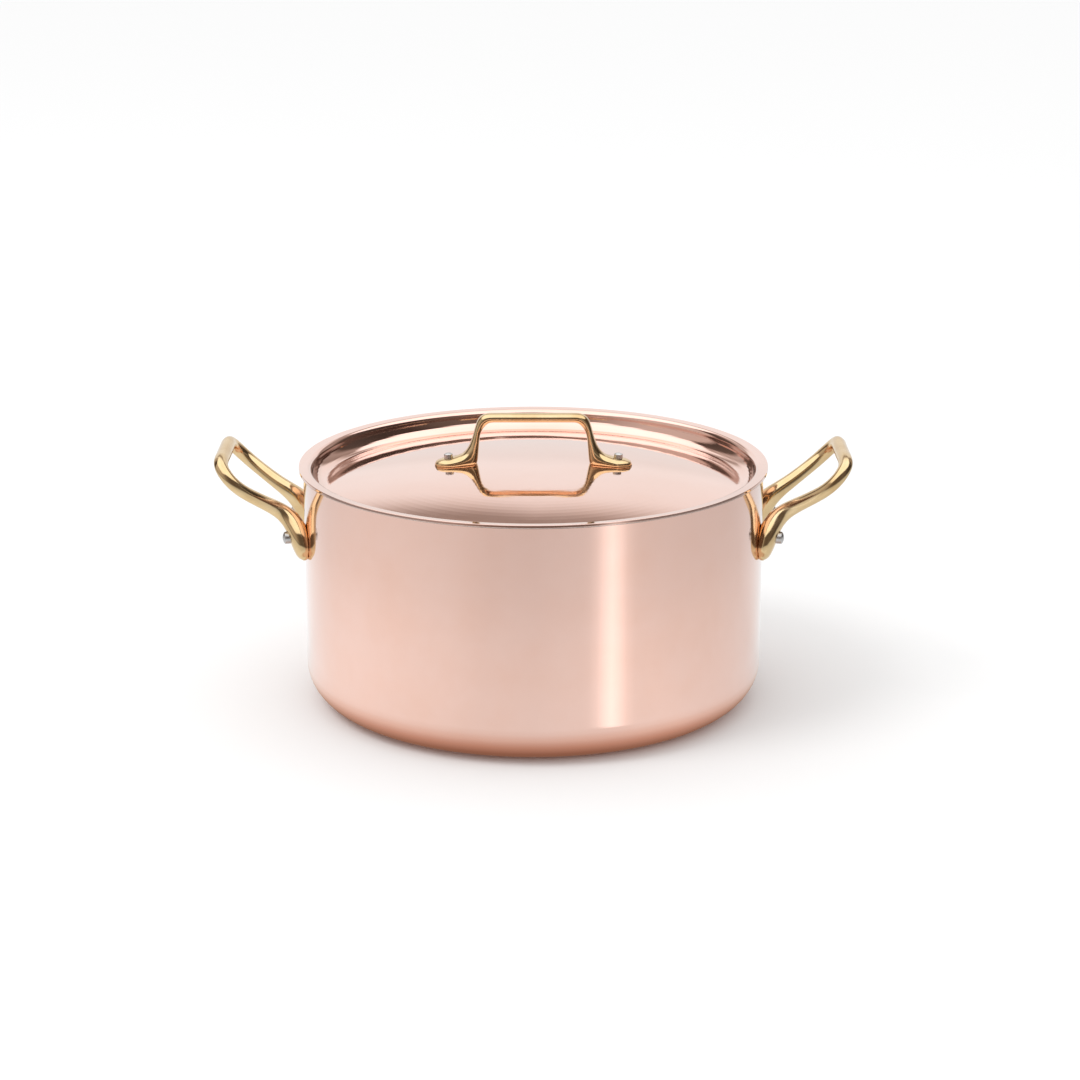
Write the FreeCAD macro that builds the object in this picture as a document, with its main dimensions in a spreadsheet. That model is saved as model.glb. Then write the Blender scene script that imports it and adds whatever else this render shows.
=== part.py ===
import FreeCAD, Part
import math
import os
import Sketcher
from FreeCAD import Matrix, Placement, Rotation, Vector

# Two-handled copper stewpan with a sunk, domed lid, in millimetres.
# Frame: +Z up, origin on the axis of the pan at the table. The side handles lie along X.

doc = FreeCAD.newDocument("stewpan")
sheet = doc.addObject("Spreadsheet::Sheet", "Sizes")

SIZES = [
    ("pan_radius", 122.0, "outside of the copper wall"),
    ("pan_height", 126.0, "table to rim"),
    ("pan_corner", 21.0, "outside radius where wall meets base"),
    ("copper_wall", 1.8, "copper thickness of the pan"),
    ("lining_wall", 0.2, "stainless lining, pan and lid"),
    ("rim_round", 0.5, "rounding of the copper's top edge"),
    ("lid_radius", 124.4, "outside of the flange"),
    ("lid_copper", 1.4, "copper thickness of the lid"),
    ("lid_well_radius", 117.2, "visible inside of the sunk wall"),
    ("lid_bend", 2.8, "radius from flange into the well"),
    ("lid_edge_round", 0.5, "rounding of the flange's outer edge"),
    ("lid_flange_rise", 0.3, "how much the flange climbs to its edge"),
    ("lid_fillet", 7.5, "radius from well into the dome"),
    ("dome_height", 127.6, "top of the dome above the table"),
    ("dome_middle_radius", 700.0, "curvature of the dome's middle"),
    ("dome_middle_reach", 40.0, "how far out that curvature goes"),
    ("dome_shoulder_radius", 450.0, "curvature of the rest of the dome"),
    ("rivet_shank", 3.2, "radius of a pan rivet"),
    ("rivet_head", 6.0, "radius of its head inside the pan"),
    ("rivet_head_rise", 2.2, "height of that head"),
    ("rivet_end_rise", 1.1, "doming of the end outside"),
    ("rivet_angle", 11.6, "from the X axis round the wall, degrees"),
    ("rivet_height", 93.4, "above the table"),
    ("rivet_reach", 14.6, "from lining to the outer end"),
    ("lid_rivet_shank", 2.3, "radius of a lid rivet"),
    ("lid_rivet_head", 4.4, "radius of its head under the lid"),
    ("lid_rivet_head_rise", 1.5, "height of that head"),
    ("lid_rivet_end_rise", 0.7, "doming of the end above the foot"),
    ("lid_rivet_out", 44.8, "from the middle of the lid"),
    ("lid_rivet_reach", 8.1, "from lid lining to the upper end"),
]

# Stations of the side handle from the foot's tip to the middle of the grip:
# out from the pan's axis, to the side, up, half thickness, half width, lean in degrees.
SIDE_STATIONS = [
    (119.6, 29.8, 83.0, 1.7, 2.6, 90),
    (120.4, 29.1, 84.6, 3.3, 4.8, 90),
    (121.2, 28.2, 87.6, 4.5, 6.6, 88),
    (122.3, 26.7, 91.3, 5.1, 7.5, 84),
    (124.1, 24.5, 96.2, 5.4, 7.3, 76),
    (127.3, 22.5, 101.4, 5.1, 6.2, 60),
    (132.0, 21.9, 105.9, 4.4, 4.9, 43),
    (138.4, 23.6, 110.3, 3.8, 4.2, 33),
    (146.0, 27.0, 115.3, 3.5, 3.9, 34),
    (153.2, 29.6, 120.6, 3.4, 3.9, 38),
    (159.0, 29.3, 126.2, 3.4, 3.9, 46),
    (162.6, 25.6, 130.8, 3.4, 3.9, 52),
    (163.6, 19.0, 132.8, 3.4, 3.8, 55),
    (163.6, 9.0, 133.1, 3.4, 3.8, 55),
    (163.6, 0.0, 133.1, 3.4, 3.8, 55),
]

# Stations of the lid handle from the foot's tip to the middle of the bar:
# upper or outer side (out, up), lower or inner side (out, up), half width.
LID_STATIONS = [
    (52.3, 126.6, 52.1, 125.0, 1.0),
    (51.9, 127.5, 51.6, 124.6, 2.7),
    (50.6, 128.6, 50.3, 124.6, 4.6),
    (48.0, 129.5, 47.6, 124.6, 6.1),
    (44.4, 130.0, 44.0, 124.8, 6.8),
    (40.6, 130.9, 39.6, 125.0, 6.5),
    (37.2, 132.6, 34.6, 125.3, 5.9),
    (34.9, 135.3, 30.8, 125.8, 5.3),
    (33.3, 138.5, 29.2, 131.2, 4.8),
    (32.2, 141.8, 28.8, 136.0, 4.5),
    (31.3, 145.0, 28.4, 140.4, 4.2),
    (30.3, 148.4, 27.5, 144.2, 4.1),
    (28.7, 151.6, 25.9, 146.9, 4.0),
    (25.6, 153.7, 23.6, 148.9, 4.0),
    (21.0, 154.2, 20.4, 149.4, 4.0),
    (10.0, 154.2, 10.0, 149.4, 4.0),
    (0.0, 154.2, 0.0, 149.4, 4.0),
]


def put(row, column, value, alias):
    cell = "%s%d" % (column, row)
    sheet.set(cell, str(value))
    sheet.setAlias(cell, alias)


for row, (alias, value, meaning) in enumerate(SIZES, 1):
    sheet.set("A%d" % row, meaning)
    put(row, "B", value, alias)
for row, station in enumerate(SIDE_STATIONS, 1):
    words = ("out", "side", "rise", "thick", "width", "lean")
    for column, word, value in zip("DEFGHI", words, station):
        put(row, column, value, "side_%s_%d" % (word, row))
for row, station in enumerate(LID_STATIONS, 1):
    words = ("upper_out", "upper_rise", "lower_out", "lower_rise", "width")
    for column, word, value in zip("KLMNO", words, station):
        put(row, column, value, "bail_%s_%d" % (word, row))
doc.recompute()


def size(alias):
    return float(sheet.get(alias))


def bind(target, path, words):
    target.setExpression(path, words)


# ---------------------------------------------------------------- sketch helpers
def origin_plane(body, role):
    return next(item for item in body.Origin.OriginFeatures if item.Role == role)


def sketch_on(body, role, name):
    sketch = body.newObject("Sketcher::SketchObject", name)
    sketch.AttachmentSupport = (origin_plane(body, role), [""])
    sketch.MapMode = "FlatFace"
    return sketch


def hold(sketch, geo, end, point):
    # Each corner is a pair of (value, words for the sheet or None).
    for kind, axis, (value, words) in (("DistanceX", -2, point[0]), ("DistanceY", -1, point[1])):
        if value == 0:
            sketch.addConstraint(Sketcher.Constraint("PointOnObject", geo, end, axis))
            continue
        index = sketch.addConstraint(Sketcher.Constraint(kind, -1, 1, geo, end, value))
        if words:
            bind(sketch, "Constraints[%d]" % index, words)


def draw(sketch, corners, sides):
    # sides[i] joins corners[i] to the next one: None is straight, else the arc's centre.
    spots = [Vector(corner[0][0], corner[1][0], 0) for corner in corners]
    ends = []
    for index, centre in enumerate(sides):
        begin = spots[index]
        finish = spots[(index + 1) % len(spots)]
        if centre is None:
            geo = sketch.addGeometry(Part.LineSegment(begin, finish), False)
            ends.append((geo, 1, 2))
            continue
        middle = Vector(centre[0], centre[1], 0)
        first = math.atan2(begin.y - middle.y, begin.x - middle.x)
        last = math.atan2(finish.y - middle.y, finish.x - middle.x)
        turn = (last - first) % (2 * math.pi)
        radius = begin.distanceToPoint(middle)
        circle = Part.Circle(middle, Vector(0, 0, 1), radius)
        if turn < math.pi:
            geo = sketch.addGeometry(Part.ArcOfCircle(circle, first, first + turn), False)
            ends.append((geo, 1, 2))
        else:
            turn = 2 * math.pi - turn
            geo = sketch.addGeometry(Part.ArcOfCircle(circle, last, last + turn), False)
            ends.append((geo, 2, 1))
    for index, (geo, start, stop) in enumerate(ends):
        after, its_start, _ = ends[(index + 1) % len(ends)]
        sketch.addConstraint(Sketcher.Constraint("Coincident", geo, stop, after, its_start))
    for index, (geo, start, stop) in enumerate(ends):
        hold(sketch, geo, start, corners[index])
        centre = sides[index]
        if centre is not None:
            middle = Vector(centre[0], centre[1], 0)
            radius = spots[index].distanceToPoint(middle)
            sketch.addConstraint(Sketcher.Constraint("Radius", geo, radius))


def turned_body(name, corners, sides):
    body = doc.addObject("PartDesign::Body", name)
    sketch = sketch_on(body, "XZ_Plane", name + "_profile")
    draw(sketch, corners, sides)
    turn = body.newObject("PartDesign::Revolution", name + "_turned")
    turn.Profile = sketch
    turn.ReferenceAxis = (sketch, ["V_Axis"])
    turn.Angle = 360
    body.Tip = turn
    return body


def rod(name, radius_words, length, place):
    tool = doc.addObject("Part::Cylinder", name)
    bind(tool, "Radius", radius_words)
    tool.Height = length
    tool.Placement = place
    return tool


def cut(name, base, tools):
    # Tools are joined first so that the piece stays one plain cut.
    result = doc.addObject("Part::Cut", name)
    result.Base = base
    if len(tools) == 1:
        result.Tool = tools[0]
    else:
        joined = doc.addObject("Part::Compound", name + "_tools")
        joined.Links = tools
        result.Tool = joined
    return result


# ---------------------------------------------------------------- where the rivets go
def pan_rivet_place(side, end):
    angle = math.radians(size("rivet_angle"))
    outward = Vector(side * math.cos(angle), end * math.sin(angle), 0)
    inside = size("pan_radius") - size("copper_wall") - size("lining_wall")
    seat = math.sqrt(inside ** 2 - size("rivet_head") ** 2)
    base = outward * seat
    base.z = size("rivet_height")
    return Placement(base, Rotation(Vector(0, 0, 1), outward))


def dome_point(out):
    middle = size("dome_middle_radius")
    reach = size("dome_middle_reach")
    top = size("dome_height")
    if out <= reach:
        return top - middle + math.sqrt(middle ** 2 - out ** 2), out / middle
    shoulder = size("dome_shoulder_radius")
    lean = math.asin(reach / middle)
    centre_out = reach - shoulder * math.sin(lean)
    centre_up = top - middle + (middle - shoulder) * math.cos(lean)
    rise = math.sqrt(shoulder ** 2 - (out - centre_out) ** 2)
    return centre_up + rise, (out - centre_out) / shoulder


def lid_rivet_place(side):
    out = size("lid_rivet_out")
    top, slope = dome_point(out)
    lean = math.asin(slope)
    upward = Vector(side * math.sin(lean), 0, math.cos(lean))
    under = size("lid_copper") + size("lining_wall") + 0.02
    return Placement(Vector(side * out, 0, top) - upward * under, Rotation(Vector(0, 0, 1), upward))


RIGHT, LEFT, FRONT, BACK = 1, -1, -1, 1
PAN_RIVETS = {
    "left_handle_front_rivet": (LEFT, FRONT),
    "left_handle_back_rivet": (LEFT, BACK),
    "right_handle_front_rivet": (RIGHT, FRONT),
    "right_handle_back_rivet": (RIGHT, BACK),
}
LID_RIVETS = {"lid_handle_left_rivet": LEFT, "lid_handle_right_rivet": RIGHT}
HOLE_LENGTH = 40.0


def holes(name, radius_words, places):
    tools = []
    for index, place in enumerate(places, 1):
        start = place.multiply(Placement(Vector(0, 0, -HOLE_LENGTH / 2), Rotation()))
        tools.append(rod("%s_hole_%d" % (name, index), radius_words, HOLE_LENGTH, start))
    return tools


pan_places = [pan_rivet_place(side, end) for side, end in PAN_RIVETS.values()]
lid_places = [lid_rivet_place(side) for side in LID_RIVETS.values()]


# ---------------------------------------------------------------- pan: copper and lining
def pan_layer(name, outer, inner, outer_words, inner_words):
    # outer and inner say how far each face lies inside the copper's outside.
    wall = size("pan_radius")
    corner = size("pan_corner")
    height = size("pan_height")
    flat = wall - corner
    flat_words = "Sizes.pan_radius - Sizes.pan_corner"
    out_wall = (wall - outer, "Sizes.pan_radius - " + outer_words)
    in_wall = (wall - inner, "Sizes.pan_radius - " + inner_words)
    top = (height, "Sizes.pan_height")
    rim = size("rim_round") if outer == 0 else 0
    corners = [
        ((0, None), (outer, outer_words)),
        ((flat, flat_words), (outer, outer_words)),
        (out_wall, (corner, "Sizes.pan_corner")),
    ]
    sides = [None, (flat, corner), None]
    if rim:
        corners.append((out_wall, (height - rim, "Sizes.pan_height - Sizes.rim_round")))
        corners.append(((wall - rim, "Sizes.pan_radius - Sizes.rim_round"), top))
        sides += [(wall - rim, height - rim), None]
    else:
        corners.append((out_wall, top))
        sides += [None]
    corners += [
        (in_wall, top),
        (in_wall, (corner, "Sizes.pan_corner")),
        ((flat, flat_words), (inner, inner_words)),
        ((0, None), (inner, inner_words)),
    ]
    sides += [None, (flat, corner), None, None]
    blank = turned_body(name + "_blank", corners, sides)
    return cut(name, blank, holes(name, "Sizes.rivet_shank", pan_places))


copper = size("copper_wall")
lining = size("lining_wall")
both_words = "(Sizes.copper_wall + Sizes.lining_wall)"
pan_shell = pan_layer("pan_shell", 0, copper, "0", "Sizes.copper_wall")
pan_lining = pan_layer("pan_lining", copper, copper + lining, "Sizes.copper_wall", both_words)


# ---------------------------------------------------------------- lid: copper and lining
def lid_layer(name, upper, lower):
    # upper and lower say how far each face lies under the lid's top surface.
    middle = size("dome_middle_radius")
    shoulder = size("dome_shoulder_radius")
    reach = size("dome_middle_reach")
    fillet = size("lid_fillet")
    bend = size("lid_bend")
    well = size("lid_well_radius")
    top = size("pan_height") + size("lid_copper") + size("lining_wall")
    edge = size("lid_radius")
    edge_top = top + size("lid_flange_rise")
    lean = math.asin(reach / middle)
    middle_centre = (0, size("dome_height") - middle)
    shoulder_centre = (
        reach - shoulder * math.sin(lean),
        middle_centre[1] + (middle - shoulder) * math.cos(lean),
    )
    fillet_out = well - fillet
    apart = shoulder + fillet
    rise = math.sqrt(apart ** 2 - (fillet_out - shoulder_centre[0]) ** 2)
    fillet_centre = (fillet_out, shoulder_centre[1] + rise)
    bend_centre = (well + bend, top - bend)
    tilt = math.atan2(fillet_out - shoulder_centre[0], rise)

    def around(centre, radius, angle):
        spot_out = centre[0] + radius * math.sin(angle)
        return (spot_out, None), (centre[1] + radius * math.cos(angle), None)

    def surface(depth):
        well_words = "Sizes.lid_well_radius + %s" % depth
        return [
            ((0, None), (size("dome_height") - depth, "Sizes.dome_height - %s" % depth)),
            around(middle_centre, middle - depth, lean),
            around(shoulder_centre, shoulder - depth, tilt),
            ((well + depth, well_words), (fillet_centre[1], None)),
            ((well + depth, well_words), (bend_centre[1], None)),
            ((bend_centre[0], "Sizes.lid_well_radius + Sizes.lid_bend"), (top - depth, None)),
        ]

    face = surface(upper)
    back = surface(lower)
    arcs = [middle_centre, shoulder_centre, fillet_centre, None, bend_centre]
    round_off = size("lid_edge_round") if upper == 0 else 0
    rim_out = (edge, "Sizes.lid_radius")
    corners = list(face)
    sides = list(arcs)
    if round_off:
        corners.append(((edge - round_off, None), (edge_top, None)))
        corners.append((rim_out, (edge_top - round_off, None)))
        sides += [None, (edge - round_off, edge_top - round_off), None]
    else:
        corners.append((rim_out, (edge_top - upper, None)))
        sides += [None, None]
    corners.append((rim_out, (edge_top - lower, None)))
    sides += [None]
    corners += back[::-1]
    sides += arcs[::-1]
    sides += [None]
    blank = turned_body(name + "_blank", corners, sides)
    return cut(name, blank, holes(name, "Sizes.lid_rivet_shank", lid_places))


lid_copper = size("lid_copper")
lid_shell = lid_layer("lid_shell", 0, lid_copper)
lid_lining = lid_layer("lid_lining", lid_copper, lid_copper + lining)


# ---------------------------------------------------------------- cast handles
def direction_along(points, index):
    before = points[max(index - 1, 0)]
    after = points[min(index + 1, len(points) - 1)]
    return (after - before).normalize()


def frame_at(point, across, through):
    # across is the section's width, through its thickness.
    normal = across.cross(through).normalize()
    across = through.cross(normal).normalize()
    grid = Matrix(
        across.x, through.x, normal.x, point.x,
        across.y, through.y, normal.y, point.y,
        across.z, through.z, normal.z, point.z,
        0, 0, 0, 1,
    )
    return Placement(grid)


def section(name, place, half_width_words, half_thick):
    ring = doc.addObject("Part::Ellipse", name)
    bind(ring, "MajorRadius", half_width_words)
    if isinstance(half_thick, str):
        bind(ring, "MinorRadius", half_thick)
    else:
        ring.MinorRadius = half_thick
    ring.Placement = place
    return ring


def cast(name, rings):
    loft = doc.addObject("Part::Loft", name)
    loft.Sections = rings
    loft.Solid = True
    loft.Ruled = False
    return loft


def side_handle(name, side):
    count = len(SIDE_STATIONS)
    order = [(FRONT, n) for n in range(1, count + 1)]
    order += [(BACK, n) for n in range(count - 1, 0, -1)]
    points = []
    for end, n in order:
        out = size("side_out_%d" % n)
        points.append(Vector(side * out, side * end * size("side_side_%d" % n), size("side_rise_%d" % n)))
    rings = []
    for index, (end, n) in enumerate(order):
        point = points[index]
        along = direction_along(points, index)
        lean = math.radians(size("side_lean_%d" % n))
        inward = Vector(-point.x, -point.y, 0).normalize()
        through = inward * math.sin(lean) + Vector(0, 0, 1) * math.cos(lean)
        through = (through - along * through.dot(along)).normalize()
        place = frame_at(point, along.cross(through), through)
        words = "Sizes.side_%s_" + str(n)
        ring_name = "%s_section_%d" % (name, index + 1)
        rings.append(section(ring_name, place, words % "width", words % "thick"))
    casting = cast(name + "_casting", rings)
    wall = rod(name + "_wall", "Sizes.pan_radius", 200, Placement())
    places = [pan_rivet_place(side, FRONT), pan_rivet_place(side, BACK)]
    return cut(name, casting, [wall] + holes(name, "Sizes.rivet_shank", places))


left_handle = side_handle("left_handle", LEFT)
right_handle = side_handle("right_handle", RIGHT)


def dome_block():
    # Solid under the lid's top surface, used to seat the feet on the dome.
    middle = size("dome_middle_radius")
    shoulder = size("dome_shoulder_radius")
    reach = size("dome_middle_reach")
    height = size("dome_height")
    lean = math.asin(reach / middle)
    middle_centre = (0, height - middle)
    shoulder_out = reach - shoulder * math.sin(lean)
    shoulder_centre = (shoulder_out, middle_centre[1] + (middle - shoulder) * math.cos(lean))
    edge = 70.0
    foot = 100.0
    corners = [
        ((0, None), (height, "Sizes.dome_height")),
        ((reach, "Sizes.dome_middle_reach"), (dome_point(reach)[0], None)),
        ((edge, None), (dome_point(edge)[0], None)),
        ((edge, None), (foot, None)),
        ((0, None), (foot, None)),
    ]
    return turned_body("dome_block", corners, [middle_centre, shoulder_centre, None, None, None])


def bail(name):
    count = len(LID_STATIONS)
    order = [(LEFT, n) for n in range(1, count + 1)]
    order += [(RIGHT, n) for n in range(count - 1, 0, -1)]
    rings = []
    for index, (side, n) in enumerate(order, 1):
        words = "bail_%s_" + str(n)
        upper = Vector(side * size(words % "upper_out"), 0, size(words % "upper_rise"))
        lower = Vector(side * size(words % "lower_out"), 0, size(words % "lower_rise"))
        through = (upper - lower).normalize()
        place = frame_at((upper + lower) * 0.5, Vector(0, 1, 0), through)
        half_thick = upper.distanceToPoint(lower) / 2
        ring_name = "%s_section_%d" % (name, index)
        rings.append(section(ring_name, place, "Sizes." + words % "width", half_thick))
    casting = cast(name + "_casting", rings)
    return cut(name, casting, [dome_block()] + holes(name, "Sizes.lid_rivet_shank", lid_places))


lid_handle = bail("lid_handle")


# ---------------------------------------------------------------- rivets
def rivet(name, place, prefix, reach_words):
    shank = (size(prefix + "shank"), "Sizes.%sshank" % prefix)
    head = (size(prefix + "head"), "Sizes.%shead" % prefix)
    head_rise = size(prefix + "head_rise")
    end_rise = size(prefix + "end_rise")
    reach = size(prefix + "reach")
    rim = 0.4
    crown = head_rise - rim
    crown_radius = (head[0] ** 2 + crown ** 2) / (2 * crown)
    end_radius = (shank[0] ** 2 + end_rise ** 2) / (2 * end_rise)
    corners = [
        ((0, None), (-head_rise, "-Sizes.%shead_rise" % prefix)),
        (head, (-rim, None)),
        (head, (0, None)),
        (shank, (0, None)),
        (shank, (reach - end_rise, reach_words + " - Sizes.%send_rise" % prefix)),
        ((0, None), (reach, reach_words)),
    ]
    sides = [(0, crown_radius - head_rise), None, None, None, (0, reach - end_radius), None]
    body = turned_body(name, corners, sides)
    body.Placement = place
    return body


rivets = []
for name, (side, end) in PAN_RIVETS.items():
    rivets.append(rivet(name, pan_rivet_place(side, end), "rivet_", "Sizes.rivet_reach"))
for name, side in LID_RIVETS.items():
    rivets.append(rivet(name, lid_rivet_place(side), "lid_rivet_", "Sizes.lid_rivet_reach"))


# ---------------------------------------------------------------- check and export
doc.recompute()
pieces = [pan_shell, pan_lining, left_handle, right_handle, lid_shell, lid_lining, lid_handle]
pieces += rivets
os.makedirs("parts", exist_ok=True)
for item in doc.Objects:
    if "Invalid" in item.State or "Error" in item.State:
        raise RuntimeError("%s did not build: %s" % (item.Name, item.State))
for piece in pieces:
    piece.Label = piece.Name
    shape = piece.Shape
    if shape.isNull() or not shape.isValid() or len(shape.Solids) != 1:
        raise RuntimeError("%s is not one sound solid" % piece.Name)
    shape.exportStep("parts/%s.step" % piece.Name)
    box = shape.BoundBox
    print("%-26s %9.1f mm3  X %.1f..%.1f  Y %.1f..%.1f  Z %.1f..%.1f" % (
        piece.Name, shape.Volume, box.XMin, box.XMax, box.YMin, box.YMax, box.ZMin, box.ZMax))
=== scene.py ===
import math

import bmesh
import bpy
import numpy as np
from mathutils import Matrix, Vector


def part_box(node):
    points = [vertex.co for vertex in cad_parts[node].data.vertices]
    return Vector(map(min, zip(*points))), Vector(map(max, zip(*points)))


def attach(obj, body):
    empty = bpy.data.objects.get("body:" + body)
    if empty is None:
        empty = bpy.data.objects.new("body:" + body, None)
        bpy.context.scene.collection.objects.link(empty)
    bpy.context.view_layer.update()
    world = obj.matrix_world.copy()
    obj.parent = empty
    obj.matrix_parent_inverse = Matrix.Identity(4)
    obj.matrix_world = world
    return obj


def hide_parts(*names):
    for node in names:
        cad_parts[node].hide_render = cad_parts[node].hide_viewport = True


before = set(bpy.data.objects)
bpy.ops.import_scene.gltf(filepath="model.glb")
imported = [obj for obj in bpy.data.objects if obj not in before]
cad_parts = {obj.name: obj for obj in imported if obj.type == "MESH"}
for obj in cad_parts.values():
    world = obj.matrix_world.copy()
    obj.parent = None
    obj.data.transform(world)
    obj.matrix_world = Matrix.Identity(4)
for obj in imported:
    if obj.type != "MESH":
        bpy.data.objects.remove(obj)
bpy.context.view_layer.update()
MM = 0.001


# ---- Pan wall and base -------------------------------------------------------------------
# The pan is one disc of copper sheet, 1.8 mm thick, spun over a former into a straight wall
# and a flat base with a wide rounded corner. Outside it is polished on the lathe, so its
# faint brushing runs round the axis.
pan_radius, pan_height, pan_corner = 122.0, 126.0, 21.0
copper_wall, lining_wall, rim_round = 1.8, 0.2, 0.5


def arc(centre, radius, start, end, step=5.0):
    """Points of a bend; its angles run from straight up, outwards, in degrees."""
    count = max(2, int(abs(end - start) / step) + 2)
    angles = np.radians(np.linspace(start, end, count))
    return [(centre[0] + radius * math.sin(a), centre[1] + radius * math.cos(a)) for a in angles]


def outline(points):
    """Fills the straight runs of a turned profile, closely next to each bend."""
    filled = [points[0]]
    for (r0, z0), (r1, z1) in zip(points, points[1:]):
        run = math.hypot(r1 - r0, z1 - z0)
        if run < 1e-6:
            continue
        if run > 1.0:
            marks = [0.15, 0.5]
            inner = int((run - 2.0) / 6.0)
            if inner > 0:
                marks += list(np.linspace(1.0, run - 1.0, inner + 2))
            marks += [run - 0.5, run - 0.15]
        else:
            marks = [0.08, run - 0.08] if run > 0.4 else []
        filled += [(r0 + (r1 - r0) * m / run, z0 + (z1 - z0) * m / run) for m in marks]
        filled.append((r1, z1))
    return filled


def plain_mesh(name, points, faces=(), edges=()):
    mesh = bpy.data.meshes.new(name)
    mesh.from_pydata([tuple(p) for p in points], list(edges), list(faces))
    return mesh


def node_adder(tree):
    """Gives the tool that adds a node to this tree, sets it up and feeds its sockets."""
    def add(kind, sockets=(), **settings):
        made = tree.nodes.new(kind)
        for key, value in settings.items():
            setattr(made, key, value)
        for socket, value in sockets:
            if isinstance(value, bpy.types.NodeSocket):
                tree.links.new(value, made.inputs[socket])
            else:
                made.inputs[socket].default_value = value
        return made
    return add


def reckon(add, operation, *values):
    """One step of arithmetic on numbers or sockets."""
    return add("ShaderNodeMath", enumerate(values), operation=operation).outputs[0]


def tree_with(name, sockets):
    """An empty geometry tree with named inputs; gives the tree, its ends and its node tool."""
    tree = bpy.data.node_groups.new(name, "GeometryNodeTree")
    tree.interface.new_socket("Geometry", in_out="INPUT", socket_type="NodeSocketGeometry")
    for label, kind in sockets:
        tree.interface.new_socket(label, in_out="INPUT", socket_type=kind)
    tree.interface.new_socket("Geometry", in_out="OUTPUT", socket_type="NodeSocketGeometry")
    ends = tree.nodes.new("NodeGroupInput"), tree.nodes.new("NodeGroupOutput")
    return tree, ends, node_adder(tree)


def finished(tree, node, ends, geometry):
    """Every tree ends alike: real geometry, smooth faces, its material."""
    real = node("GeometryNodeRealizeInstances", [(0, geometry)])
    smooth = node("GeometryNodeSetShadeSmooth", [(0, real.outputs[0])])
    faced = node("GeometryNodeSetMaterial", [
        (0, smooth.outputs[0]), ("Material", ends[0].outputs["Material"])])
    tree.links.new(faced.outputs[0], ends[1].inputs[0])
    return tree


def grid_on(node, line, steps):
    """A sheet with one row for each point of a line, and each vertex's row and column in it."""
    count = node("GeometryNodeAttributeDomainSize", [(0, line)])
    across = node("FunctionNodeIntegerMath", [(0, steps), (1, 1)], operation="ADD").outputs[0]
    grid = node("GeometryNodeMeshGrid", [
        ("Vertices X", count.outputs["Point Count"]), ("Vertices Y", across)])
    index = node("GeometryNodeInputIndex").outputs[0]
    row = node("FunctionNodeIntegerMath", [(0, index), (1, across)], operation="DIVIDE")
    column = node("FunctionNodeIntegerMath", [(0, index), (1, across)], operation="MODULO")
    return grid, row, column


def turning_tree():
    """A profile in the XZ plane turned about the Z axis into a closed sheet-metal piece."""
    tree, ends, node = tree_with("turned_on_the_lathe", [
        ("Steps", "NodeSocketInt"), ("Material", "NodeSocketMaterial")])
    profile, steps = ends[0].outputs["Geometry"], ends[0].outputs["Steps"]
    grid, row, column = grid_on(node, profile, steps)
    place = node("GeometryNodeInputPosition")
    drawn = node("GeometryNodeSampleIndex", data_type="FLOAT_VECTOR", domain="POINT")
    tree.links.new(profile, drawn.inputs["Geometry"])
    tree.links.new(place.outputs[0], drawn.inputs["Value"])
    tree.links.new(row.outputs[0], drawn.inputs["Index"])
    share = reckon(node, "DIVIDE", column.outputs[0], steps)
    angle = reckon(node, "MULTIPLY", share, 2 * math.pi)
    turned = node("ShaderNodeVectorRotate", [("Vector", drawn.outputs[0]), ("Angle", angle)],
                  rotation_type="Z_AXIS")
    moved = node("GeometryNodeSetPosition", [(0, grid.outputs[0]), ("Position", turned.outputs[0])])
    closed = node("GeometryNodeMergeByDistance", [(0, moved.outputs[0]), ("Distance", 1e-6)])
    return finished(tree, node, ends, closed.outputs[0])


def through_tree(name, source, tree, inputs):
    """Runs source through a tree and gives a plain mesh object with its faces pointing out."""
    rough = bpy.data.objects.new(name + "_source", source)
    bpy.context.scene.collection.objects.link(rough)
    modifier = rough.modifiers.new(tree.name, "NODES")
    modifier.node_group = tree
    for item in tree.interface.items_tree:
        if item.in_out == "INPUT" and item.name in inputs:
            modifier[item.identifier] = inputs[item.name]
    dg = bpy.context.evaluated_depsgraph_get()
    mesh = bpy.data.meshes.new_from_object(rough.evaluated_get(dg), depsgraph=dg)
    mesh.name = name
    bpy.data.objects.remove(rough)
    return outward(bpy.data.objects.new(name, mesh))


def outward(piece):
    shell = bmesh.new()
    shell.from_mesh(piece.data)
    bmesh.ops.remove_doubles(shell, verts=shell.verts, dist=1e-7)
    bmesh.ops.dissolve_degenerate(shell, edges=shell.edges, dist=1e-8)
    bmesh.ops.recalc_face_normals(shell, faces=shell.faces)
    shell.to_mesh(piece.data)
    shell.free()
    bpy.context.scene.collection.objects.link(piece)
    return piece


def turned(name, profile, material, steps=360):
    points = [(r * MM, 0, z * MM) for r, z in profile]
    source = plain_mesh(name + "_profile", points, edges=[(i, i + 1) for i in range(len(points) - 1)])
    return through_tree(name, source, lathe, {"Steps": steps, "Material": material})


def place_in(piece, body, slot, *nodes):
    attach(piece, body)
    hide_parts(*nodes)


def finish_nodes(name):
    """A metal material and a short way to add nodes to it."""
    material = bpy.data.materials.new(name)
    material.use_nodes = True
    shader = material.node_tree.nodes["Principled BSDF"]
    shader.inputs["Metallic"].default_value = 1.0

    def join(value, socket):
        material.node_tree.links.new(value, shader.inputs[socket])

    return material, node_adder(material.node_tree), join


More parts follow.
